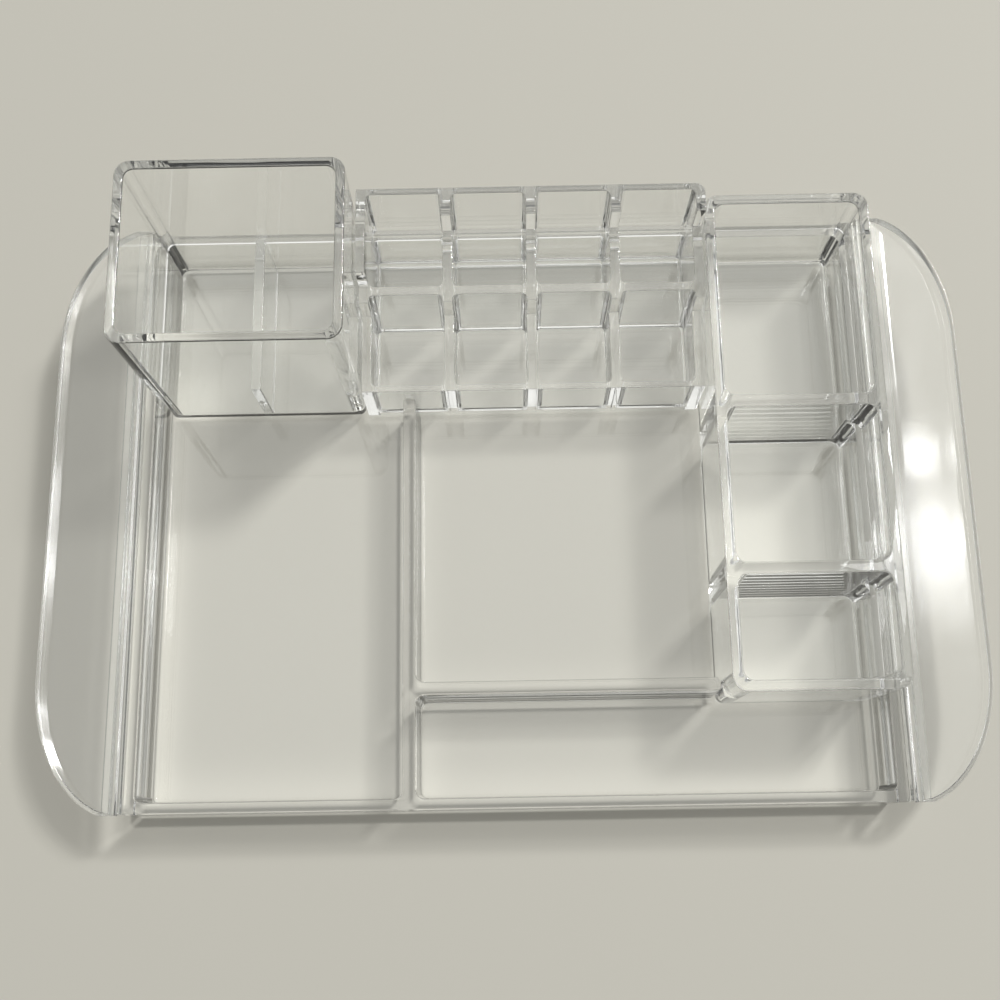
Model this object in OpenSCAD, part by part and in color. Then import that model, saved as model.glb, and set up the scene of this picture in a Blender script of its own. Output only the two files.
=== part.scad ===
// Clear vanity organizer: a shallow tray with three pockets, two D-shaped side wings,
// a tall brush box, a stepped lipstick rack with two rows and a column of three boxes.
// Millimetres, +Z up, origin at the middle of the footprint on the table plane.

/* [Base tray] */
// Width of the tray across its side walls
tray_w = 253; // [236:1:258]
// Depth of the tray, front to back
tray_d = 205; // [200:1:206]
// Height of the tray rim above the table
tray_h = 24; // [20:0.5:28]
// Thickness of the tray walls
tray_wall = 3.8; // [2.5:0.1:4.5]
// Thickness of the tray floor
tray_floor = 2.5; // [1.5:0.1:3.5]
// Radius of the tray's outside corners
tray_corner = 1.5; // [1:0.5:4]
// Radius of the pocket corners
pocket_corner = 2.5; // [1:0.5:4]
// Width of the ledge along each side wall
ledge_w = 2.5; // [1.5:0.1:3.5]
// Thickness of the ledge
ledge_t = 3; // [2:0.1:4]
// Drop of the ledge below the rim
ledge_drop = 0.8; // [0.4:0.1:1.5]
// Distance the ledge stops short of the tray's front and rear faces
ledge_end = 0.3; // [0.2:0.1:10]

/* [Tray partitions] */
// Thickness of the long partition, between the left and middle pockets
long_wall = 4.2; // [2.5:0.1:5]
// Position of the long partition's middle, left of centre
long_x = 34.3; // [30:0.1:40]
// Thickness of the cross partition, between the middle and front pockets
cross_wall = 4.3; // [2.5:0.1:5]
// Position of the cross partition's middle, forward of centre
cross_y = 63.6; // [58:0.1:66]

/* [Side wings] */
// Reach of each wing beyond the tray side
wing_w = 31; // [24:0.5:40]
// Length of each wing's outline, front to back, before its ends are cut flush with the tray
wing_l = 208; // [207:1:214]
// Length of the rounded end of a wing, along the tray side
wing_end_l = 46; // [30:1:60]
// Thickness of the wing plate
wing_plate = 2.6; // [2:0.1:3]
// Width of the raised band at the wing's outer edge
wing_band = 3.5; // [2.5:0.1:5]
// Width of that band where it runs out at the tray
wing_band_tip = 1.2; // [0.8:0.1:2]
// Width of the raised band along the tray
wing_band_seam = 4; // [2:0.5:7]
// Height of the bands above the dished plate
wing_band_rise = 1.6; // [0.6:0.1:2]
// Thickness of the strip that carries the ledge
wing_strip = 2.4; // [1.5:0.1:3]
// Width of that strip outside the ledge
wing_strip_w = 5.4; // [2:0.1:8]
// Height of the leg bonded to the tray side
wing_leg = 8; // [5:0.5:10]

/* [Brush box] */
// Height of the brush box rim above the table
brush_h = 79; // [60:1:95]
// Thickness of the brush box walls
brush_wall = 3.2; // [2:0.1:4]
// Radius of the brush box corners
brush_corner = 5; // [2:0.5:8]
// Height of the low divider inside the brush box
brush_div_h = 26.5; // [10:0.5:40]
// Thickness of the low divider
brush_div_t = 3.4; // [1.6:0.1:4]
// Position of the low divider across the box, as a share of the inside width
brush_div_share = 0.5; // [0.4:0.01:0.6]
// Distance the brush box reaches back over the tray's rear wall
brush_over = 1.3; // [0.5:0.1:3.6]

/* [Lipstick rack] */
// Position of the rack's left side, left of centre
rack_left = 50.5; // [48:0.5:54]
// Position of the rack's right side, right of centre
rack_right = 68.2; // [66:0.1:72]
// Height of the rack's rear rim above the table
rack_h = 53; // [46:1:62]
// Drop from the rear rim to the middle wall, and from there to the front rim
rack_step = 12; // [6:0.5:13]
// Thickness of the rack's side walls
rack_wall = 3.4; // [2.2:0.1:4]
// Thickness of the rack's front and rear walls
rack_end_wall = 2.3; // [1.8:0.1:3]
// Thickness of the wall between the two rows
mid_wall_t = 3.1; // [2:0.1:4]
// Position of that wall's front face, behind centre
mid_wall_y = 68.4; // [66:0.1:73]
// Thickness of each lipstick divider
rack_div_t = 3.4; // [2:0.1:4]
// Length of the high shoulder that each divider keeps behind its step
shoulder_back = 8; // [3:0.5:14]
// Length of the same shoulder in the front row, before the middle wall
shoulder_front = 2.7; // [1:0.1:8]
// Height of the rack's floor above the tray floor, on a low skirt
rack_skirt = 3; // [1:0.5:6]
// Thickness of the rack's floor
rack_floor = 2.5; // [1.5:0.1:3]
// Distance the rack reaches back over the tray's rear wall
rack_over = 3.6; // [0.5:0.1:3.6]
// Radius of the rack's rear right corner
rack_corner = 3.5; // [2:0.5:6]

/* [Right column] */
// Height of the column rim above the table
column_h = 46; // [36:1:56]
// Thickness of the column's outer walls
column_wall = 3.6; // [2.4:0.1:4]
// Position of the column's front face, forward of centre
column_front = 68.8; // [68:0.1:72]
// Thickness of the two walls between the column's boxes
column_div_t = 4; // [2.5:0.1:5]
// Position of the wall behind the middle box, behind centre
column_div_back = 26.6; // [20:0.1:32]
// Position of the wall in front of the middle box, forward of centre
column_div_front = 29.6; // [24:0.1:34]
// Distance the column reaches back over the tray's rear wall
column_over = 2.6; // [0.5:0.1:3.6]
// Radius of the column's outside corners
column_corner = 5; // [2:0.5:8]

/* [Upper boxes] */
// Position of the front face of the brush box and the rack, behind centre
boxes_front = 37.4; // [35:0.1:40]
// Thickness of the floor of the brush box and the column
box_floor = 2; // [1.2:0.1:3]
// Distance the brush box and the column reach out over the tray's side walls
over_side = 2.1; // [1:0.1:3.6]
// Thickness of the shoulder with which an upper box lies on the tray rim
over_t = 2.2; // [1.5:0.1:3]
// Clearance between an upper box and what stands beside it
nest_gap = 0.15; // [0.1:0.05:0.3]
// Radius of the corners inside the upper boxes
inside_corner = 3; // [1.5:0.5:5]

/* [Hidden] */
$fn = 48;
// Overrun that takes every cut past the face it opens
cut = 1;
half = 0.5;
// Angle between two points of a wing's rounded end, and the angle it turns
arc_step = 3;
quarter = 90;

// Inside faces of the tray
in_x = tray_w * half - tray_wall;
in_y = tray_d * half - tray_wall;
// Outside faces of the upper boxes inside the tray
nest_x = in_x - nest_gap;
nest_y = in_y - nest_gap;
// Level at which the upper boxes widen inside
over_z = tray_h + over_t;

// Edges of the two tray partitions
long_x0 = -long_x - long_wall * half;
long_x1 = -long_x + long_wall * half;
cross_y0 = -cross_y - cross_wall * half;
cross_y1 = -cross_y + cross_wall * half;

// Wing levels and edges
wing_top = tray_h;
plate_top = wing_top - wing_band_rise;
plate_bottom = plate_top - wing_plate;
ledge_top = tray_h - ledge_drop;
ledge_bottom = ledge_top - ledge_t;
wing_in_x = tray_w * half + ledge_w;
strip_bottom = ledge_bottom - wing_strip;

// Levels, faces and cells of the rack
rack_mid_h = rack_h - rack_step;
rack_front_h = rack_mid_h - rack_step;
rack_floor_top = tray_floor + rack_skirt + rack_floor;
rack_x1 = rack_right - nest_gap;
rack_back = nest_y + rack_over;
rack_in_x0 = -rack_left + rack_wall;
rack_in_x1 = rack_x1 - rack_wall;
rack_in_y0 = boxes_front + rack_end_wall;
rack_in_y1 = nest_y - rack_end_wall;
mid_wall_back = mid_wall_y + mid_wall_t;
step_back_y = rack_in_y1 + rack_over - shoulder_back;
step_front_y = mid_wall_y - shoulder_front;
rack_cells = 4;
cell_w = (rack_in_x1 - rack_in_x0 - rack_div_t * (rack_cells - 1)) / rack_cells;

// Brush box edges
box_floor_top = tray_floor + box_floor;
brush_x1 = -rack_left - nest_gap;
brush_in_x0 = -nest_x + brush_wall;
brush_in_x1 = brush_x1 - brush_wall;
brush_in_y0 = boxes_front + brush_wall;
brush_in_y1 = nest_y - brush_wall;
brush_div_x = brush_in_x0 + (brush_in_x1 - brush_in_x0) * brush_div_share;

// Right column edges
column_in_x0 = rack_right + column_wall;
column_in_x1 = nest_x - column_wall;
column_in_y0 = -column_front + column_wall;
column_in_y1 = nest_y - column_wall;

// Rectangle with round corners, from one corner to the opposite one
module round_rect(x0, y0, x1, y1, r) {
  translate([x0 + r, y0]) square([x1 - x0 - r - r, y1 - y0]);
  translate([x0, y0 + r]) square([x1 - x0, y1 - y0 - r - r]);
  for (x = [x0 + r, x1 - r], y = [y0 + r, y1 - r]) translate([x, y]) circle(r);
}

// Upright block with round vertical edges
module block(x0, y0, x1, y1, z0, z1, r) {
  translate([0, 0, z0]) linear_extrude(z1 - z0) round_rect(x0, y0, x1, y1, r);
}

// Plain block between two corners
module slab(x0, y0, z0, x1, y1, z1) {
  translate([x0, y0, z0]) cube([x1 - x0, y1 - y0, z1 - z0]);
}

// Open room of an upper box: upright up to its shoulder on the tray rim, wider above
module room(x0, y0, x1, y1, floor_top, top, left, right, back) {
  block(x0, y0, x1, y1, floor_top, over_z + cut, inside_corner);
  block(x0 - left, y0, x1 + right, y1 + back, over_z, top + cut, inside_corner);
}

module base_tray() {
  color("lightsteelblue") union() {
    difference() {
      block(-tray_w * half, -tray_d * half, tray_w * half, tray_d * half, 0, tray_h, tray_corner);
      // left pocket and the bay of the brush box
      block(-in_x, -in_y, long_x0, boxes_front, tray_floor, tray_h + cut, pocket_corner);
      slab(-in_x, boxes_front - pocket_corner, tray_floor, long_x0, boxes_front, tray_h + cut);
      slab(-in_x, boxes_front - cut, tray_floor, rack_right, in_y, tray_h + cut);
      // middle pocket
      block(long_x1, cross_y1, rack_right, boxes_front, tray_floor, tray_h + cut, pocket_corner);
      slab(long_x1, boxes_front - pocket_corner, tray_floor, rack_right, boxes_front, tray_h + cut);
      // front pocket
      block(long_x1, -in_y, in_x, cross_y0, tray_floor, tray_h + cut, pocket_corner);
      // bay of the right column
      slab(rack_right, -column_front, tray_floor, in_x, in_y, tray_h + cut);
      slab(rack_right + pocket_corner, -in_y + pocket_corner, tray_floor,
           in_x, -column_front + cut, tray_h + cut);
    }
    for (s = [-1, 1]) scale([s, 1, 1])
      slab(tray_w * half - tray_wall * half, -tray_d * half + ledge_end, ledge_bottom,
           wing_in_x, tray_d * half - ledge_end, ledge_top);
  }
}

// Points of a wing's outline from a line beside the tray, drawn in by a band that narrows
// to the tips
function wing_points(band, tip) =
  let (a = wing_w - band, b = wing_end_l - tip, y = wing_l * half - wing_end_l)
  concat(
    [for (t = [0 : arc_step : quarter]) [tray_w * half + a * cos(t), y + b * sin(t)]],
    [for (t = [quarter : -arc_step : 0]) [tray_w * half + a * cos(t), -y - b * sin(t)]]);

module wing() {
  difference() {
    // plate beside the ledge, its ends flush with the tray's front and rear faces
    intersection() {
      translate([0, 0, plate_bottom])
        linear_extrude(wing_top - plate_bottom) polygon(wing_points(0, 0));
      slab(wing_in_x, -tray_d * half, 0, tray_w * half + wing_w + cut, tray_d * half, tray_h + cut);
    }
    // dished middle, inside the bands
    intersection() {
      translate([0, 0, plate_top])
        linear_extrude(wing_top) polygon(wing_points(wing_band, wing_band_tip));
      slab(wing_in_x + wing_band_seam, -wing_l, plate_top,
           tray_w * half + wing_w, wing_l, tray_h + cut);
    }
  }
  // strip under the ledge, and the leg bonded to the tray side
  slab(tray_w * half, -tray_d * half + ledge_end, strip_bottom,
       wing_in_x + wing_strip_w, tray_d * half - ledge_end, ledge_bottom);
  slab(tray_w * half, -tray_d * half + ledge_end, strip_bottom - wing_leg,
       wing_in_x, tray_d * half - ledge_end, strip_bottom);
}

module left_wing() {
  color("powderblue") mirror([1, 0, 0]) wing();
}

module right_wing() {
  color("powderblue") wing();
}

module brush_box() {
  color("skyblue") difference() {
    union() {
      block(-nest_x, boxes_front, brush_x1, nest_y, tray_floor, tray_h, inside_corner);
      block(-nest_x - over_side, boxes_front, brush_x1, nest_y + brush_over, tray_h, brush_h,
            brush_corner);
    }
    room(brush_in_x0, brush_in_y0, brush_in_x1, brush_in_y1, box_floor_top, brush_h,
         over_side, 0, brush_over);
  }
}

module brush_divider() {
  color("deepskyblue")
    slab(brush_div_x - brush_div_t * half, brush_in_y0, box_floor_top,
         brush_div_x + brush_div_t * half, brush_in_y1, box_floor_top + brush_div_h);
}

module lipstick_rack() {
  color("lightcyan") difference() {
    union() {
      // inside the tray, then the front, middle and rear tiers above its rim
      slab(-rack_left, boxes_front, tray_floor, rack_x1, nest_y, tray_h);
      slab(-rack_left, boxes_front, tray_h, rack_x1, step_front_y, rack_front_h);
      rear_tier(-rack_left, step_front_y, rack_x1, rack_back, tray_h, rack_mid_h, rack_corner);
      rear_tier(-rack_left, step_back_y, rack_x1, rack_back, rack_mid_h, rack_h, rack_corner);
      slab(-rack_left, mid_wall_back, rack_mid_h, rack_in_x0, step_back_y, rack_h);
    }
    slab(rack_in_x0, rack_in_y0, rack_floor_top, rack_in_x1, rack_in_y1, over_z);
    rear_tier(rack_in_x0, rack_in_y0, rack_in_x1, rack_in_y1 + rack_over, over_z, rack_h + cut,
              rack_corner - rack_end_wall);
    // hollow under the floor, inside the skirt
    slab(rack_in_x0, rack_in_y0, 0, rack_in_x1, rack_in_y1, tray_floor + rack_skirt);
  }
}

// Block whose rear right edge is round
module rear_tier(x0, y0, x1, y1, z0, z1, r) {
  translate([0, 0, z0]) linear_extrude(z1 - z0) {
    translate([x0, y0]) square([x1 - x0 - r, y1 - y0]);
    translate([x0, y0]) square([x1 - x0, y1 - y0 - r]);
    translate([x1 - r, y1 - r]) circle(r);
  }
}

module rack_mid_wall() {
  color("paleturquoise")
    slab(rack_in_x0, mid_wall_y, rack_floor_top, rack_in_x1, mid_wall_back, rack_mid_h);
}

// One divider between two cells, counted from the left, as a plate cut to a side profile
module rack_divider(n, profile) {
  translate([rack_in_x0 + cell_w * n + rack_div_t * (n - 1), 0, 0])
    rotate([quarter, 0, quarter]) linear_extrude(rack_div_t) polygon(profile);
}

// It follows the shoulder and the shelf of the rear wall, and steps down to the middle wall
module back_divider(n) {
  color("aquamarine") rack_divider(n, [
    [mid_wall_back, rack_floor_top], [rack_in_y1, rack_floor_top],
    [rack_in_y1, over_z], [rack_in_y1 + rack_over, over_z],
    [rack_in_y1 + rack_over, rack_h], [step_back_y, rack_h],
    [step_back_y, rack_mid_h], [mid_wall_back, rack_mid_h]]);
}

module front_divider(n) {
  color("mediumaquamarine") rack_divider(n, [
    [rack_in_y0, rack_floor_top], [mid_wall_y, rack_floor_top],
    [mid_wall_y, rack_mid_h], [step_front_y, rack_mid_h],
    [step_front_y, rack_front_h], [rack_in_y0, rack_front_h]]);
}

module back_divider_1() { back_divider(1); }
module back_divider_2() { back_divider(2); }
module back_divider_3() { back_divider(3); }
module front_divider_1() { front_divider(1); }
module front_divider_2() { front_divider(2); }
module front_divider_3() { front_divider(3); }

module right_column() {
  back_y0 = column_div_back + column_div_t * half;
  mid_y1 = column_div_back - column_div_t * half;
  mid_y0 = -column_div_front + column_div_t * half;
  front_y1 = -column_div_front - column_div_t * half;
  color("lightblue") difference() {
    union() {
      block(rack_right, -column_front, nest_x, nest_y, tray_floor, tray_h, inside_corner);
      block(rack_right, -column_front, nest_x + over_side, nest_y + column_over, tray_h,
            column_h, column_corner);
    }
    room(column_in_x0, back_y0, column_in_x1, column_in_y1, box_floor_top, column_h,
         0, over_side, column_over);
    room(column_in_x0, mid_y0, column_in_x1, mid_y1, box_floor_top, column_h,
         0, over_side, 0);
    room(column_in_x0, column_in_y0, column_in_x1, front_y1, box_floor_top, column_h,
         0, over_side, 0);
  }
}

base_tray();
left_wing();
right_wing();
brush_box();
brush_divider();
lipstick_rack();
rack_mid_wall();
back_divider_1();
back_divider_2();
back_divider_3();
front_divider_1();
front_divider_2();
front_divider_3();
right_column();
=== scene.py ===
import math

import bmesh
import bpy
from mathutils import Matrix, Vector
from mathutils.geometry import tessellate_polygon


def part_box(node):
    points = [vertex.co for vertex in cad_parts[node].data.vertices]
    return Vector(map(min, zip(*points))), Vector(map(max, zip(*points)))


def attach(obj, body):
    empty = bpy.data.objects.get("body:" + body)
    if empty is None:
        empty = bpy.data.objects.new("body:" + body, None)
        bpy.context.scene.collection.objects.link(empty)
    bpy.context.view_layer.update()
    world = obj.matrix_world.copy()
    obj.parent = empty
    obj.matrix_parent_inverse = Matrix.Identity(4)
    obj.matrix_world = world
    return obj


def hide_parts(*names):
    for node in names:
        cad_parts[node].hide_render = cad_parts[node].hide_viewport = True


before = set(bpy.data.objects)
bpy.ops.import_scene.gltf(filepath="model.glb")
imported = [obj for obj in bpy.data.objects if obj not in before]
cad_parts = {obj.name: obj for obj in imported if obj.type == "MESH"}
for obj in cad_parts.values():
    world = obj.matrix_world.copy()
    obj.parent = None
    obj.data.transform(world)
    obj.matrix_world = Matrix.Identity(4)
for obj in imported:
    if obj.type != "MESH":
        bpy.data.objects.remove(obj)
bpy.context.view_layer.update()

scene = bpy.context.scene

# Base tray
# One shallow moulding in clear polystyrene: floor, outer walls and the two partitions,
# with drafted pocket walls, a small fillet at the foot of each and a softened rim.
# Along each side runs a thin ledge, a little below the rim, that carries a wing.

mm = 0.001  # a millimetre in metres; sizes without a word on their unit are in millimetres
least_bend = 0.15  # no corner gets sharper than this when it is drawn in


def rounded_loop(corners, inset, height, steps=6):
    """Points of an upright-sided outline with round corners, drawn in by inset."""
    points = []
    count = len(corners)
    for i in range(count):
        x, y, radius = corners[i]
        here = Vector((x, y))
        run_in = (here - Vector(corners[i - 1][:2])).normalized()
        run_out = (Vector(corners[(i + 1) % count][:2]) - here).normalized()
        left_in = Vector((-run_in.y, run_in.x))
        left_out = Vector((-run_out.y, run_out.x))
        convex = run_in.x * run_out.y - run_in.y * run_out.x > 0
        side = 1 if convex else -1
        here = here + (left_in + left_out) * inset
        bend = max(radius - inset * side, least_bend)
        start = here - run_in * bend
        middle = start + left_in * bend * side
        first = start - middle
        last = here + run_out * bend - middle
        for k in range(steps + 1):
            turn = math.radians(90 * k / steps)
            p = middle + first * math.cos(turn) + last * math.sin(turn)
            points.append((p.x * mm, p.y * mm, height * mm))
    return points


def box_corners(x0, y0, x1, y1, radius):
    return [(x0, y0, radius), (x1, y0, radius), (x1, y1, radius), (x0, y1, radius)]


def add_rings(mesh, rings):
    """Rings of vertices joined by quads, one below the other."""
    made = [[mesh.verts.new(p) for p in ring] for ring in rings]
    for upper, lower in zip(made, made[1:]):
        for i in range(len(upper)):
            j = (i + 1) % len(upper)
            mesh.faces.new((upper[i], upper[j], lower[j], lower[i]))
    return made


def add_cap(mesh, *loops):
    """A flat face inside the first loop and outside the others."""
    flat = [vert for loop in loops for vert in loop]
    for a, b, c in tessellate_polygon([[v.co for v in loop] for loop in loops]):
        mesh.faces.new((flat[a], flat[b], flat[c]))


def quarter_turn(steps):
    """Each step of a rim's rounding: how far it has still to go out, and how far it is down,
    as shares of the radius. A foot or a fillet takes the two the other way round."""
    turns = [math.radians(90 * k / steps) for k in range(steps + 1)]
    return [(1 - math.sin(turn), 1 - math.cos(turn)) for turn in turns]


shelf_step = 0.02  # keeps the two edges of a shelf apart where the walls don't step


def outer_skin(corners, top, bottom, rim, foot, draft, shelf=None):
    """Rings from the rim's inner edge over the outside and under the foot."""
    rings = [rounded_loop(corners, rim * side, top - rim * drop) for side, drop in quarter_turn(4)]
    base = corners
    if shelf:
        level, lower_corners = shelf
        share = (top - level) / (top - bottom)
        rings.append(rounded_loop(corners, draft * share, level))
        rings.append(rounded_loop(lower_corners, draft * share + shelf_step, level))
        base = lower_corners
    rings += [rounded_loop(base, draft + foot * drop, bottom + foot * side) for side, drop in quarter_turn(3)]
    return rings


def pocket_skin(corners, top, floor, rim, fillet, draft, shelf=None):
    """Rings from the rim's outer edge down the inside to the edge of the floor."""
    rings = [rounded_loop(corners, -rim * side, top - rim * drop) for side, drop in quarter_turn(4)]
    if shelf:
        level, lower_corners = shelf
        half_draft = draft / 2
        rings.append(rounded_loop(corners, half_draft, level))
        rings.append(rounded_loop(lower_corners, half_draft + shelf_step, level))
        corners = lower_corners
    rings += [rounded_loop(corners, draft + fillet * drop, floor + fillet * side)
              for side, drop in quarter_turn(5)]
    return rings


weld_gap = 0.000002  # metres; vertices nearer than this are joined
hard_corner = math.radians(50)  # an edge that turns more than this is shaded as a corner


def finish_piece(mesh, name, material, nodes):
    """Welds the mesh, shades it and gives it its place in the frame."""
    bmesh.ops.remove_doubles(mesh, verts=mesh.verts, dist=weld_gap)
    bmesh.ops.recalc_face_normals(mesh, faces=mesh.faces)
    for face in mesh.faces:
        face.smooth = True
        face.material_index = 0
    for edge in mesh.edges:
        edge.smooth = edge.calc_face_angle(0) < hard_corner
    data = bpy.data.meshes.new(name)
    mesh.to_mesh(data)
    mesh.free()
    piece = bpy.data.objects.new(name, data)
    scene.collection.objects.link(piece)
    data.materials.append(material)
    shade = piece.modifiers.new("even_faces", "WEIGHTED_NORMAL")
    shade.weight = 100
    shade.keep_sharp = True
    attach(piece, "root")
    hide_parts(*nodes)


def moulded_surface():
    """Faint smears in the polish and the slight ripple of a moulded face."""
    group = bpy.data.node_groups.new("moulded_surface", "ShaderNodeTree")
    for label, value in (("Ripple", 1.0), ("Smear Strength", 0.02), ("Base Roughness", 0.01)):
        socket = group.interface.new_socket(label, in_out="INPUT", socket_type="NodeSocketFloat")
        socket.default_value = value
    group.interface.new_socket("Roughness", in_out="OUTPUT", socket_type="NodeSocketFloat")
    group.interface.new_socket("Height", in_out="OUTPUT", socket_type="NodeSocketFloat")
    nodes, links = group.nodes, group.links
    inputs = nodes.new("NodeGroupInput")
    outputs = nodes.new("NodeGroupOutput")
    place = nodes.new("ShaderNodeTexCoord")
    smear = nodes.new("ShaderNodeTexNoise")
    smear.inputs["Scale"].default_value = 26.0
    smear.inputs["Detail"].default_value = 4.0
    smear.inputs["Distortion"].default_value = 1.4
    links.new(place.outputs["Object"], smear.inputs["Vector"])
    span = nodes.new("ShaderNodeMapRange")
    span.inputs["From Min"].default_value = 0.5
    span.inputs["From Max"].default_value = 0.8
    links.new(smear.outputs["Fac"], span.inputs["Value"])
    scaled = nodes.new("ShaderNodeMath")
    scaled.operation = "MULTIPLY"
    links.new(span.outputs["Result"], scaled.inputs[0])
    links.new(inputs.outputs["Smear Strength"], scaled.inputs[1])
    total = nodes.new("ShaderNodeMath")
    total.operation = "ADD"
    links.new(scaled.outputs[0], total.inputs[0])
    links.new(inputs.outputs["Base Roughness"], total.inputs[1])
    links.new(total.outputs[0], outputs.inputs["Roughness"])
    ripple = nodes.new("ShaderNodeTexNoise")
    ripple.inputs["Scale"].default_value = 60.0
    ripple.inputs["Detail"].default_value = 1.0
    links.new(place.outputs["Object"], ripple.inputs["Vector"])
    height = nodes.new("ShaderNodeMath")
    height.operation = "MULTIPLY"
    links.new(ripple.outputs["Fac"], height.inputs[0])
    links.new(inputs.outputs["Ripple"], height.inputs[1])
    links.new(height.outputs[0], outputs.inputs["Height"])
    return group


surface_marks = moulded_surface()


def clear_plastic(name, smear, wall_loss, level_pass, foot_loss=0.0, pockets=(), wave=0.02, haze=0.0):
    """Clear polystyrene. Room light passes straight through it. Of the window's light level
    faces let level_pass through, and upright walls less the more they slant to that light. A
    foot_loss takes more below foot_height, and a wall_loss below zero adds painted light
    instead. On the floor of each pocket lies painted light along its left and its front wall,
    standing in for the light those walls throw back. Smear and haze are roughness in spots
    and all over, and wave is the strength of the ripple."""
    material = bpy.data.materials.new(name)
    material.use_nodes = True
    nodes, links = material.node_tree.nodes, material.node_tree.links
    nodes.clear()
    output = nodes.new("ShaderNodeOutputMaterial")
    plastic = nodes.new("ShaderNodeBsdfPrincipled")
    plastic.inputs["Base Color"].default_value = (0.995, 1.0, 0.995, 1.0)
    plastic.inputs["IOR"].default_value = 1.57
    plastic.inputs["Transmission Weight"].default_value = 1.0
    worn = nodes.new("ShaderNodeGroup")
    worn.node_tree = surface_marks
    worn.inputs["Smear Strength"].default_value = smear
    worn.inputs["Base Roughness"].default_value = haze
    links.new(worn.outputs["Roughness"], plastic.inputs["Roughness"])
    bump = nodes.new("ShaderNodeBump")
    bump.inputs["Strength"].default_value = wave
    bump.inputs["Distance"].default_value = 0.001
    links.new(worn.outputs["Height"], bump.inputs["Height"])
    links.new(bump.outputs["Normal"], plastic.inputs["Normal"])

    def maths(operation, *values):
        node = nodes.new("ShaderNodeMath")
        node.operation = operation
        for slot, value in enumerate(values):
            if isinstance(value, (int, float)):
                node.inputs[slot].default_value = value
            else:
                links.new(value, node.inputs[slot])
        return node.outputs[0]

    place = nodes.new("ShaderNodeTexCoord")
    at = nodes.new("ShaderNodeSeparateXYZ")
    links.new(place.outputs["Object"], at.inputs["Vector"])
    face = nodes.new("ShaderNodeNewGeometry")
    facing = nodes.new("ShaderNodeSeparateXYZ")
    links.new(face.outputs["True Normal"], facing.inputs["Vector"])
    foot_height, floor_reach = 0.0058, 0.0003  # metres
    least_pass, most_pass, slant_power, level_power = 0.03, 0.97, 2.2, 4.0
    level = maths("POWER", maths("ABSOLUTE", facing.outputs["Z"]), level_power)
    slant = nodes.new("ShaderNodeLayerWeight")
    slant.inputs["Blend"].default_value = 0.5
    low = maths("LESS_THAN", at.outputs["Z"], foot_height)
    loss = maths("MULTIPLY", maths("POWER", slant.outputs["Facing"], slant_power),
                 maths("MULTIPLY_ADD", low, foot_loss, wall_loss))
    upright_pass = maths("MAXIMUM", maths("SUBTRACT", most_pass, loss), least_pass)
    left = maths("ADD", maths("MULTIPLY", level, level_pass),
                 maths("MULTIPLY", maths("SUBTRACT", 1.0, level), upright_pass))
    # Painted light: inside each pocket's bounds the floor faces pass more of the window's light, fading away
    # from its left and its front wall.
    for x0, x1, y0, y1, floor, (left_gain, left_reach), (front_gain, front_reach) in pockets:
        inside = maths("MULTIPLY", maths("COMPARE", at.outputs["X"], (x0 + x1) / 2, (x1 - x0) / 2),
                       maths("COMPARE", at.outputs["Y"], (y0 + y1) / 2, (y1 - y0) / 2))
        on_floor = maths("MULTIPLY", inside, maths("COMPARE", at.outputs["Z"], floor, floor_reach))
        painted_glow = 0.0
        walls = (("X", x0, left_gain, left_reach), ("Y", y0, front_gain, front_reach))
        for axis, edge, gain, reach in walls:
            away = maths("MULTIPLY", maths("SUBTRACT", at.outputs[axis], edge), 1.0 / reach)
            fading = maths("EXPONENT", maths("MULTIPLY", maths("POWER", away, 2.0), -1.0))
            painted_glow = maths("MULTIPLY_ADD", fading, gain, painted_glow)
        left = maths("MULTIPLY_ADD", on_floor, painted_glow, left)
    passing = nodes.new("ShaderNodeBsdfTransparent")
    path = nodes.new("ShaderNodeLightPath")
    links.new(maths("MAXIMUM", left, path.outputs["Is Diffuse Ray"]), passing.inputs["Color"])
    mix = nodes.new("ShaderNodeMixShader")
    light_ray = maths("MAXIMUM", path.outputs["Is Shadow Ray"], path.outputs["Is Diffuse Ray"])
    links.new(light_ray, mix.inputs["Fac"])
    links.new(plastic.outputs["BSDF"], mix.inputs[1])
    links.new(passing.outputs["BSDF"], mix.inputs[2])
    links.new(mix.outputs["Shader"], output.inputs["Surface"])
    return material


# Each pocket in metres: x0, x1, y0, y1 and floor height, then the gain and the reach of the
# painted light along its left wall and along its front wall. The boxes' list has the same form.
tray_painted_light_pools = [
    (-0.1230, -0.0364, -0.0990, 0.037, 0.0025, (0.40, 0.008), (0.26, 0.011)),
    (-0.0325, 0.0680, -0.0617, 0.037, 0.0025, (0.20, 0.006), (0.15, 0.008)),
    (-0.0325, 0.1227, -0.0990, -0.0657, 0.0025, (0.25, 0.008), (0.28, 0.010)),
]
tray_plastic = clear_plastic("clear_tray_plastic", smear=0.03, wall_loss=1.0, level_pass=1.0,
                             foot_loss=3.0, pockets=tray_painted_light_pools)

tray_rim_height, tray_floor_top = 24.0, 2.5
tray_side, tray_end, tray_wall, tray_corner = 126.5, 102.5, 3.8, 1.5
pocket_side, pocket_end = tray_side - tray_wall, tray_end - tray_wall
long_left, long_right, long_back = -36.4, -32.2, 37.2
cross_front, cross_back, cross_right = -65.75, -61.45, 68.0
outer_round, partition_round, end_round = 2.5, 3.0, 1.0
tray_outline = box_corners(-tray_side, -tray_end, tray_side, tray_end, tray_corner)
tray_inside = [
    (-pocket_side, -pocket_end, outer_round), (long_left, -pocket_end, outer_round),
    (long_left, long_back, end_round), (long_right, long_back, end_round),
    (long_right, cross_back, partition_round), (cross_right, cross_back, end_round),
    (cross_right, cross_front, end_round), (long_right, cross_front, partition_round),
    (long_right, -pocket_end, partition_round), (pocket_side, -pocket_end, outer_round),
    (pocket_side, pocket_end, outer_round), (-pocket_side, pocket_end, outer_round),
]

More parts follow.
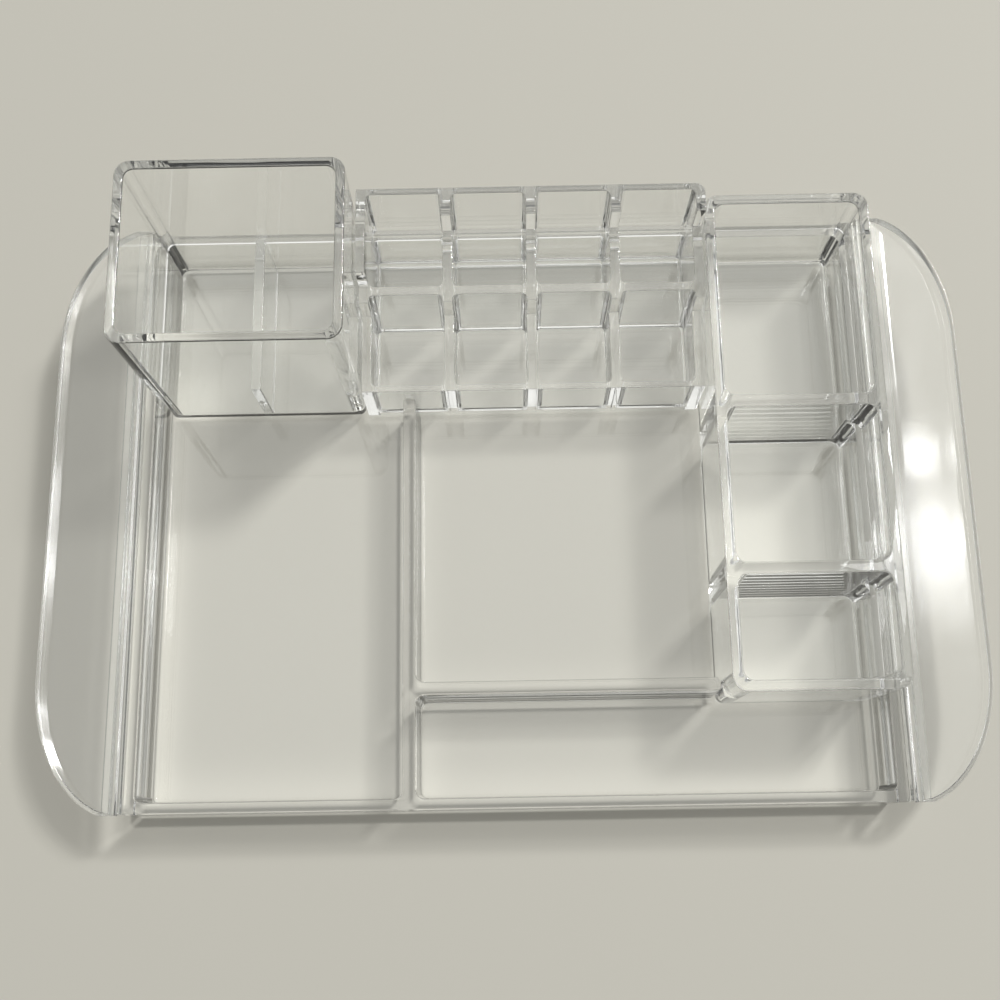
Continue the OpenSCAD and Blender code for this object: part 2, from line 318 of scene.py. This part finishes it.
tray_mesh = bmesh.new()
outside = add_rings(tray_mesh, outer_skin(
    tray_outline, tray_rim_height, bottom=0.0, rim=0.5, foot=1.0, draft=0.0))
inside = add_rings(tray_mesh, pocket_skin(
    tray_inside, tray_rim_height, tray_floor_top, rim=0.45, fillet=1.6, draft=0.5))
add_cap(tray_mesh, outside[0], inside[0])
add_cap(tray_mesh, outside[-1])
add_cap(tray_mesh, inside[-1])
finish_piece(tray_mesh, "clear_base_tray", tray_plastic, ["base_tray"])

ledge_root, ledge_tip, ledge_end, ledge_corner = 126.55, 128.9, 102.15, 0.4
ledge_top, ledge_bottom, ledge_edge = 23.2, 20.2, 0.3
ledge_mesh = bmesh.new()
for side in (-1, 1):
    ends = sorted((side * ledge_root, side * ledge_tip))
    bar = box_corners(ends[0], -ledge_end, ends[1], ledge_end, ledge_corner)
    rings = [rounded_loop(bar, ledge_edge, ledge_top), rounded_loop(bar, 0.0, ledge_top - ledge_edge),
             rounded_loop(bar, 0.0, ledge_bottom + ledge_edge), rounded_loop(bar, ledge_edge, ledge_bottom)]
    made = add_rings(ledge_mesh, rings)
    add_cap(ledge_mesh, made[0])
    add_cap(ledge_mesh, made[-1])
finish_piece(ledge_mesh, "tray_side_ledges", tray_plastic, ["base_tray"])

# Side wings
# Two D-shaped flanges of the same plastic, level with the tray rim. Each has a rolled
# outer rim, a shallow dished middle, and below it a strip and a leg bonded to the tray.

wing_plastic = clear_plastic("clear_wing_plastic", smear=0.08, wall_loss=0.9, level_pass=0.66,
                             wave=0.05, haze=0.09)
# Painted light: the strip's upright faces pass more of the window's light than falls on them, brightening the
# table beside the leg.
strip_plastic = clear_plastic("clear_strip_plastic", smear=0.02, wall_loss=-1.2, level_pass=1.0)
wing_reach, wing_round, wing_straight, wing_seam = 31.0, 46.0, 58.0, 129.0


def wing_loop(side, reach_in, tip_in, end_in, seam_in, height, steps=26):
    """Outline of a wing drawn in at its rim, its tips, its cut ends and along the tray."""
    wide, long = wing_reach - reach_in, wing_round - tip_in
    seam, end = wing_seam + seam_in, tray_end - end_in
    at_seam = math.acos((seam - tray_side) / wide)
    first = min(at_seam, math.asin(min(1.0, (end - wing_straight) / long)))
    points = [(seam, min(end, wing_straight + long * math.sin(at_seam)))]
    for k in range(steps + 1):
        turn = first * (1 - k / steps)
        points.append((tray_side + wide * math.cos(turn), wing_straight + long * math.sin(turn)))
    points += [(x, -y) for x, y in reversed(points)]
    return [(side * x * mm, y * mm, height * mm) for x, y in points]


for side, label, node in ((-1, "left", "left_wing"), (1, "right", "right_wing")):
    wing_mesh = bmesh.new()
    # From the dished middle out over the rim and under: how far in at the rim, at the tips,
    # at the cut ends and along the tray, and the height.
    section = [
        (9.8, 3.5, 1.6, 6.4, 22.28), (8.6, 3.0, 1.4, 5.9, 22.42), (3.9, 1.4, 0.9, 2.6, 22.45),
        (3.55, 1.25, 0.8, 2.2, 22.55), (0.8, 0.5, 0.4, 1.2, 23.80), (0.5, 0.35, 0.3, 0.5, 23.92),
        (0.3, 0.25, 0.2, 0.2, 23.95), (0.08, 0.08, 0.08, 0.04, 23.8), (0.0, 0.0, 0.0, 0.0, 23.55),
        (0.0, 0.0, 0.0, 0.0, 20.3), (0.1, 0.1, 0.1, 0.05, 20.0), (0.4, 0.35, 0.3, 0.2, 19.85),
    ]
    loops = add_rings(wing_mesh, [wing_loop(side, *ring) for ring in section])
    add_cap(wing_mesh, loops[0])
    add_cap(wing_mesh, loops[-1])
    finish_piece(wing_mesh, label + "_wing_plate", wing_plastic, [node])
    web_mesh = bmesh.new()
    # The strip and the leg seen from the front: out from the middle, and up.
    web = [(126.6, 9.9), (128.9, 9.9), (128.9, 17.6), (134.2, 17.6), (134.2, 19.8), (126.6, 19.8)]
    ends = [[web_mesh.verts.new((side * x * mm, y * mm, z * mm)) for x, z in web]
            for y in (-ledge_end, ledge_end)]
    for i in range(len(web)):
        j = (i + 1) % len(web)
        web_mesh.faces.new((ends[0][i], ends[0][j], ends[1][j], ends[1][i]))
    for end in ends:
        web_mesh.faces.new(end)
    finish_piece(web_mesh, label + "_wing_strip", strip_plastic, [node])

# Brush box
# The tall open box at the back left, a drafted moulding of its own. It stands in the
# tray and steps out over the tray's rim, with round corners and a softened rim.

# Painted light on the floors of the brush box and the column's three boxes, in the same form as the tray's.
box_painted_light_pools = [
    (-0.1200, -0.0530, 0.040, 0.096, 0.0045, (0.20, 0.03), (0.20, 0.04)),
    (0.0715, 0.1195, 0.028, 0.096, 0.0045, (0.12, 0.012), (0.10, 0.012)),
    (0.0715, 0.1195, -0.028, 0.025, 0.0045, (0.30, 0.03), (0.25, 0.03)),
    (0.0715, 0.1195, -0.066, -0.031, 0.0045, (0.30, 0.03), (0.20, 0.03)),
]
box_plastic = clear_plastic("clear_box_plastic", smear=0.02, wall_loss=0.8, level_pass=1.0,
                            pockets=box_painted_light_pools)


def sloped_skin(upper, lower, top, floor, rim, fillet):
    """Rings down the inside of a box that narrows evenly from its rim to its floor."""
    rings = [rounded_loop(upper, -rim * side, top - rim * drop) for side, drop in quarter_turn(3)]
    rings += [rounded_loop(lower, fillet * drop, floor + fillet * side) for side, drop in quarter_turn(5)]
    return rings


box_bottom, box_floor, over_tray_rim = 2.6, 4.5, 24.1
box_foot, box_draft, box_fillet = 1.9, 0.65, 1.2
brush_height, brush_rim = 79.0, 0.45
brush_above = box_corners(-124.6, 37.45, -50.7, 99.8, 5.0)
brush_below = box_corners(-122.5, 37.45, -50.7, 98.5, 3.0)
brush_room_above = box_corners(-121.4, 40.6, -53.8, 96.6, 3.2)
brush_room_below = box_corners(-120.4, 40.6, -53.8, 95.9, 3.2)
brush_mesh = bmesh.new()
brush_outside = add_rings(brush_mesh, outer_skin(
    brush_above, brush_height, box_bottom, brush_rim, box_foot, box_draft,
    shelf=(over_tray_rim, brush_below)))
brush_inside = add_rings(brush_mesh, sloped_skin(
    brush_room_above, brush_room_below, brush_height, box_floor, brush_rim, box_fillet))
add_cap(brush_mesh, brush_outside[0], brush_inside[0])
add_cap(brush_mesh, brush_outside[-1])
add_cap(brush_mesh, brush_inside[-1])
finish_piece(brush_mesh, "clear_brush_box", box_plastic, ["brush_box"])

# Brush divider
# A low plate that splits the brush box in two. It is glued in, with polished edges.

divider_plastic = clear_plastic("clear_divider_plastic", smear=0.02, wall_loss=0.4, level_pass=1.0)


def plate_mesh(x0, y0, z0, x1, y1, z1, edge):
    """A plate with its edges rounded."""
    mesh = bmesh.new()
    bmesh.ops.create_cube(mesh, size=1.0)
    for vert in mesh.verts:
        x, y, z = (x0, x1)[vert.co.x > 0], (y0, y1)[vert.co.y > 0], (z0, z1)[vert.co.z > 0]
        vert.co = Vector((x, y, z)) * mm
    bmesh.ops.bevel(mesh, geom=mesh.edges[:], offset=edge * mm, segments=3, profile=0.5, affect="EDGES")
    return mesh


low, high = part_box("brush_divider")
plate_front, plate_back, plate_foot, plate_edge = 40.9, 95.1, 4.6, 0.35
plate = plate_mesh(low.x / mm, plate_front, plate_foot,
                   high.x / mm, plate_back, high.z / mm, plate_edge)
finish_piece(plate, "low_brush_divider", divider_plastic, ["brush_divider"])

# Lipstick rack
# One clear moulding on a low skirt: a stepped block with eight round-cornered cells cut
# into it. Its rim steps down from the rear to the middle wall and again to the front.

rack_plastic = clear_plastic("clear_rack_plastic", smear=0.02, wall_loss=0.55, level_pass=1.0)


def stepped_block(xs, ys, zs, filled):
    """A closed solid from the filled blocks of a grid."""
    mesh = bmesh.new()
    corner = {}

    def vert(i, j, k):
        if (i, j, k) not in corner:
            corner[i, j, k] = mesh.verts.new((xs[i] * mm, ys[j] * mm, zs[k] * mm))
        return corner[i, j, k]

    blocks = {(i, j, k) for i in range(len(xs) - 1) for j in range(len(ys) - 1) for k in range(len(zs) - 1)
              if filled(i, j, k)}
    sides = {
        (-1, 0, 0): ((0, 0, 0), (0, 0, 1), (0, 1, 1), (0, 1, 0)),
        (1, 0, 0): ((1, 0, 0), (1, 1, 0), (1, 1, 1), (1, 0, 1)),
        (0, -1, 0): ((0, 0, 0), (1, 0, 0), (1, 0, 1), (0, 0, 1)),
        (0, 1, 0): ((0, 1, 0), (0, 1, 1), (1, 1, 1), (1, 1, 0)),
        (0, 0, -1): ((0, 0, 0), (0, 1, 0), (1, 1, 0), (1, 0, 0)),
        (0, 0, 1): ((0, 0, 1), (1, 0, 1), (1, 1, 1), (0, 1, 1)),
    }
    for i, j, k in blocks:
        for (di, dj, dk), quad in sides.items():
            if (i + di, j + dj, k + dk) not in blocks:
                mesh.faces.new([vert(i + a, j + b, k + c) for a, b, c in quad])
    return mesh


# Where the block's faces can lie: across, from front to back, and up.
rack_x = [-50.4, -47.1, 68.0]
rack_y = [37.8, 65.7, 71.5, 91.85, 97.85, 102.1]
rack_z = [2.6, 24.1, 29.0, 41.0, 53.0]


def in_rack(i, j, k):
    """Whether a block is filled: in the tray, up to the front, the middle or the rear rim."""
    return (j < 4, True, j >= 1, j >= 3 or (i == 0 and j >= 2))[k]


def cell_row_tree():
    """A row of equal cells cut into a moulding: cell, first place, pitch and count."""
    tree = bpy.data.node_groups.new("cell_row", "GeometryNodeTree")
    tree.interface.new_socket("Geometry", in_out="OUTPUT", socket_type="NodeSocketGeometry")
    for label, kind in (("Geometry", "NodeSocketGeometry"), ("Cell", "NodeSocketObject"),
                        ("First Place", "NodeSocketVector"), ("Pitch", "NodeSocketVector"),
                        ("Count", "NodeSocketInt"), ("Plastic", "NodeSocketMaterial")):
        tree.interface.new_socket(label, in_out="INPUT", socket_type=kind)
    nodes, links = tree.nodes, tree.links
    given, result = nodes.new("NodeGroupInput"), nodes.new("NodeGroupOutput")
    cell = nodes.new("GeometryNodeObjectInfo")
    links.new(given.outputs["Cell"], cell.inputs["Object"])
    line = nodes.new("GeometryNodeMeshLine")
    links.new(given.outputs["Count"], line.inputs["Count"])
    links.new(given.outputs["First Place"], line.inputs["Start Location"])
    links.new(given.outputs["Pitch"], line.inputs["Offset"])
    spread = nodes.new("GeometryNodeInstanceOnPoints")
    links.new(line.outputs["Mesh"], spread.inputs["Points"])
    links.new(cell.outputs["Geometry"], spread.inputs["Instance"])
    real = nodes.new("GeometryNodeRealizeInstances")
    links.new(spread.outputs["Instances"], real.inputs["Geometry"])
    cut = nodes.new("GeometryNodeMeshBoolean")
    cut.operation = "DIFFERENCE"
    cut.solver = "EXACT"
    links.new(given.outputs["Geometry"], cut.inputs["Mesh 1"])
    links.new(real.outputs["Geometry"], cut.inputs["Mesh 2"])
    finish = nodes.new("GeometryNodeSetMaterial")
    links.new(cut.outputs["Mesh"], finish.inputs["Geometry"])
    links.new(given.outputs["Plastic"], finish.inputs["Material"])
    links.new(finish.outputs["Geometry"], result.inputs["Geometry"])
    return tree


def object_from(mesh, name):
    """A scratch object for the cuts, taken out again after them."""
    data = bpy.data.meshes.new(name)
    bmesh.ops.recalc_face_normals(mesh, faces=mesh.faces)
    mesh.to_mesh(data)
    mesh.free()
    made = bpy.data.objects.new(name, data)
    scene.collection.objects.link(made)
    return made


def cell_cutter(name, x0, y0, z0, x1, y1, z1, corner, foot=0.0):
    """The room of one cell, with round upright corners. Its foot is round, or sharp at 0."""
    mesh = bmesh.new()
    outline = box_corners(x0, y0, x1, y1, corner)
    foot_steps = quarter_turn(3) if foot else [(0.0, 0.0)]
    rings = [rounded_loop(outline, 0.0, z1)]
    rings += [rounded_loop(outline, foot * drop, z0 + foot * side) for side, drop in foot_steps]
    made = add_rings(mesh, rings)
    add_cap(mesh, made[0])
    add_cap(mesh, made[-1])
    return object_from(mesh, name)


corner_round, foot_round, rim_round = 3.5, 1.7, 0.3
near = 0.00005  # metres; how close a vertex has to lie to count as on a face


def round_edges(mesh, edges, radius, segments):
    bmesh.ops.bevel(mesh, geom=edges, offset=radius * mm, segments=segments, profile=0.5, affect="EDGES")


def at_rear_corner(vert):
    return vert.co.x > rack_x[-1] * mm - near and vert.co.y > rack_y[-1] * mm - near


def at_foot(vert):
    """At the bottom, on the front face or on the rear face inside the tray."""
    between = rack_y[0] * mm + near < vert.co.y < rack_y[4] * mm - near
    return vert.co.z < rack_z[0] * mm + near and not between


def runs_sideways(edge):
    return abs(edge.verts[0].co.y - edge.verts[1].co.y) < near


rack_body = stepped_block(rack_x, rack_y, rack_z, in_rack)
rear_corner = [e for e in rack_body.edges if all(at_rear_corner(v) for v in e.verts)]
round_edges(rack_body, rear_corner, corner_round, 8)
feet = [e for e in rack_body.edges if all(at_foot(v) for v in e.verts) and runs_sideways(e)]
round_edges(rack_body, feet, foot_round, 4)
shell = object_from(rack_body, "rack_body")

cells_start = rack_x[1]
pitch = (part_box("back_divider_2")[0].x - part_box("back_divider_1")[0].x) / mm
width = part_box("back_divider_1")[0].x / mm - cells_start
cell_floor, cell_shelf, over_top, shelf_overlap = 8.0, 26.2, 60.0, 1.3
cell_corner, cell_foot = 2.0, 1.0
front_near, front_far = 39.75, 68.4
rear_near, rear_far_below, rear_far_above = 71.5, 96.2, 99.85
skirt_near, skirt_far, skirt_width = 39.8, 95.5, 111.7
skirt_start, skirt_top, skirt_corner = -1.0, 5.5, 1.0
cutters = [
    (cell_cutter("rear_cell_top", 0.0, rear_near, cell_shelf, width, rear_far_above, over_top,
                 cell_corner), 4),
    (cell_cutter("rear_cell_foot", 0.0, rear_near, cell_floor, width, rear_far_below,
                 cell_shelf + shelf_overlap, cell_corner, cell_foot), 4),
    (cell_cutter("front_cell", 0.0, front_near, cell_floor, width, front_far, over_top,
                 cell_corner, cell_foot), 4),
    (cell_cutter("skirt_room", 0.0, skirt_near, skirt_start, skirt_width, skirt_far, skirt_top,
                 skirt_corner), 1),
]
cell_row = cell_row_tree()
# A modifier's input goes by its socket's identifier, not by its name.
keys = {item.name: item.identifier for item in cell_row.interface.items_tree if item.in_out == "INPUT"}
for cutter, count in cutters:
    setup = shell.modifiers.new(cutter.name, "NODES")
    setup.node_group = cell_row
    setup[keys["Cell"]] = cutter
    setup[keys["First Place"]] = (cells_start * mm, 0.0, 0.0)
    setup[keys["Pitch"]] = (pitch * mm, 0.0, 0.0)
    setup[keys["Count"]] = count
    setup[keys["Plastic"]] = rack_plastic
cut_block = bpy.data.meshes.new_from_object(shell.evaluated_get(bpy.context.evaluated_depsgraph_get()))
rack_mesh = bmesh.new()
rack_mesh.from_mesh(cut_block)
bpy.data.meshes.remove(cut_block)
bpy.data.objects.remove(shell)
for cutter, count in cutters:
    bpy.data.objects.remove(cutter)
cut_gap = 0.00002  # metres; vertices that the cuts leave nearer than this are joined
bmesh.ops.remove_doubles(rack_mesh, verts=rack_mesh.verts, dist=cut_gap)

# Only the rims are rounded here, and not in the first rear cell's corner, where the left
# wall steps up and a rounding would fold over itself. No faces are joined after the cuts:
# a joined face round the rear cells' shelf would close the cell that it goes round.
rim_turn = 0.9  # radians
lowest_rim = 0.0285  # metres, as is the corner
tight_x, tight_y = (-0.0472, -0.0450), (0.0714, 0.0736)


def in_tight_corner(vert):
    return tight_x[0] < vert.co.x < tight_x[1] and tight_y[0] < vert.co.y < tight_y[1]


rims = [e for e in rack_mesh.edges
        if e.calc_face_angle(0) > rim_turn and all(v.co.z > lowest_rim for v in e.verts)
        and not all(in_tight_corner(v) for v in e.verts)]
round_edges(rack_mesh, rims, rim_round, 3)
dividers = [row + "_divider_" + str(n) for row in ("back", "front") for n in (1, 2, 3)]
finish_piece(rack_mesh, "clear_lipstick_rack", rack_plastic, ["lipstick_rack", "rack_mid_wall"] + dividers)

# Right column
# Three open boxes in one moulding along the right side, each with round corners and
# drafted walls. Like the brush box, it stands in the tray and steps out over its rim.

column_height, column_rim, room_draft, room_shelf = 46.0, 0.5, 0.4, 26.2
column_above = box_corners(68.25, -68.8, 124.6, 101.1, 5.0)
column_below = box_corners(68.25, -68.8, 122.5, 98.5, 3.0)
room_left, room_right_above, room_right_below, room_corner = 71.8, 121.1, 119.0, 3.5
# Each room's front, its back, and how far the back steps out over the tray's rim.
rooms = ((-65.2, -31.6, 0.0), (-27.6, 24.6, 0.0), (28.6, 95.0, 2.6))
column_mesh = bmesh.new()
column_outside = add_rings(column_mesh, outer_skin(
    column_above, column_height, box_bottom, column_rim, box_foot, box_draft,
    shelf=(over_tray_rim, column_below)))
pockets = []
for y0, y1, reach in rooms:
    above = box_corners(room_left, y0, room_right_above, y1 + reach, room_corner)
    below = box_corners(room_left, y0, room_right_below, y1, room_corner)
    pockets.append(add_rings(column_mesh, pocket_skin(
        above, column_height, box_floor, column_rim, box_fillet, room_draft, shelf=(room_shelf, below))))
add_cap(column_mesh, column_outside[0], *[p[0] for p in pockets])
add_cap(column_mesh, column_outside[-1])
for pocket in pockets:
    add_cap(column_mesh, pocket[-1])
finish_piece(column_mesh, "clear_right_column", box_plastic, ["right_column"])

# Table
# A plain pale table top under the organizer.

pale = (0.60, 0.585, 0.525, 1.0)
table_reach, table_drop = 6.0, 0.00015  # metres
table_paint = bpy.data.materials.new("pale_table")
table_paint.use_nodes = True
table_shader = table_paint.node_tree.nodes["Principled BSDF"]
table_shader.inputs["Base Color"].default_value = pale
table_shader.inputs["Roughness"].default_value = 0.6
table_shader.inputs["Specular IOR Level"].default_value = 0.1
table_data = bpy.data.meshes.new("table_top")
table_mesh = bmesh.new()
bmesh.ops.create_grid(table_mesh, x_segments=1, y_segments=1, size=table_reach)
for vert in table_mesh.verts:
    vert.co.z = -table_drop
table_mesh.to_mesh(table_data)
table_mesh.free()
table_top = bpy.data.objects.new("table_top", table_data)
table_data.materials.append(table_paint)
scene.collection.objects.link(table_top)

# Light
# A window behind and to the right, its smaller panes that show in the right wing and
# along the rim of the left one, and an even room.


def pane(name, target, towards, distance, size, power, tint=(1.0, 1.0, 1.0)):
    """A lamp turned to face its target. The lamp's distance and size are in metres."""
    data = bpy.data.lights.new(name, "AREA")
    data.shape = "RECTANGLE"
    data.size, data.size_y = size
    data.energy = power
    data.color = tint
    lamp = bpy.data.objects.new(name, data)
    direction = Vector(towards).normalized()
    spot = Vector(target) * mm + direction * distance
    lamp.matrix_world = Matrix.Translation(spot) @ direction.to_track_quat("Z", "Y").to_matrix().to_4x4()
    lamp.visible_camera = False
    scene.collection.objects.link(lamp)


pane("window", (0, 0, 0), (0.60, 0.544, 1.0), 6.0, (0.7, 0.7), 245.0, (1.0, 0.995, 0.98))
pane("upper_pane", (140.6, 13.6, 22.4), (0.304, 0.269, 0.914), 1.5, (0.052, 0.046), 0.14)
pane("lower_pane", (136.7, -14.9, 22.4), (0.301, 0.212, 0.930), 1.5, (0.040, 0.058), 0.11)
pane("side_pane", (152.4, -17.3, 22.4), (0.332, 0.205, 0.921), 1.5, (0.028, 0.100), 0.11)
pane("tall_pane", (-155, 0, 23), (0.485, 0.22, 0.84), 3.0, (0.24, 1.10), 3.6)

room = bpy.data.worlds.new("room")
scene.world = room
room.use_nodes = True
nodes, links = room.node_tree.nodes, room.node_tree.links
nodes.clear()
out = nodes.new("ShaderNodeOutputWorld")
place = nodes.new("ShaderNodeTexCoord")
path = nodes.new("ShaderNodeLightPath")


def sky_shade(towards, stops):
    """A background whose brightness changes towards one side of the room."""
    facing = nodes.new("ShaderNodeVectorMath")
    facing.operation = "DOT_PRODUCT"
    facing.inputs[1].default_value = Vector(towards).normalized()
    links.new(place.outputs["Generated"], facing.inputs[0])
    ramp = nodes.new("ShaderNodeValToRGB")
    while len(ramp.color_ramp.elements) < len(stops):
        ramp.color_ramp.elements.new(0.5)
    for element, (position, level) in zip(ramp.color_ramp.elements, stops):
        element.position = position
        element.color = (level, level, level * 0.97, 1.0)
    links.new(facing.outputs["Value"], ramp.inputs["Fac"])
    background = nodes.new("ShaderNodeBackground")
    links.new(ramp.outputs["Color"], background.inputs["Color"])
    return background


ambient = sky_shade((0, 0, 1), [(0.0, 0.25), (1.0, 0.37)])
mirrored = sky_shade((0.1, 0.35, 1.0), [(0.0, 0.55), (0.35, 0.70), (0.7, 0.95), (1.0, 1.0)])
shown = nodes.new("ShaderNodeBackground")
shown.inputs["Color"].default_value = pale
seen_in_plastic = nodes.new("ShaderNodeMath")
seen_in_plastic.operation = "MAXIMUM"
links.new(path.outputs["Is Glossy Ray"], seen_in_plastic.inputs[0])
links.new(path.outputs["Is Transmission Ray"], seen_in_plastic.inputs[1])
around = nodes.new("ShaderNodeMixShader")
links.new(seen_in_plastic.outputs[0], around.inputs["Fac"])
links.new(ambient.outputs["Background"], around.inputs[1])
links.new(mirrored.outputs["Background"], around.inputs[2])
pick = nodes.new("ShaderNodeMixShader")
links.new(path.outputs["Is Camera Ray"], pick.inputs["Fac"])
links.new(around.outputs["Shader"], pick.inputs[1])
links.new(shown.outputs["Background"], pick.inputs[2])
links.new(pick.outputs["Shader"], out.inputs["Surface"])

# Camera
# Held above the front edge, looking down at the organizer a little from the front.

camera_data = bpy.data.cameras.new("camera")
camera_data.sensor_width = 36.0
focal_share = 1.29437  # focal length over the picture's width, fitted to the photo's straight edges
camera_data.lens = focal_share * camera_data.sensor_width
camera_data.clip_start = 0.01
camera = bpy.data.objects.new("camera", camera_data)
scene.collection.objects.link(camera)
# The camera's three directions, and its place in metres, come from the same fit.
sideways = Vector((0.9998282, -0.0164821, -0.0084799))
upward = Vector((0.0180989, 0.9668388, 0.2547454))
backward = Vector((0.0040000, -0.2548551, 0.9669710))
camera_place = (-0.001608, -0.112415, 0.450)
turned = Matrix((sideways, upward, backward)).transposed().to_4x4()
camera.matrix_world = Matrix.Translation(camera_place) @ turned
scene.camera = camera

scene.view_settings.view_transform = "Standard"
scene.cycles.use_denoising = True
scene.cycles.max_bounces = 40
scene.cycles.transmission_bounces = 40
scene.cycles.glossy_bounces = 12
scene.cycles.transparent_max_bounces = 64
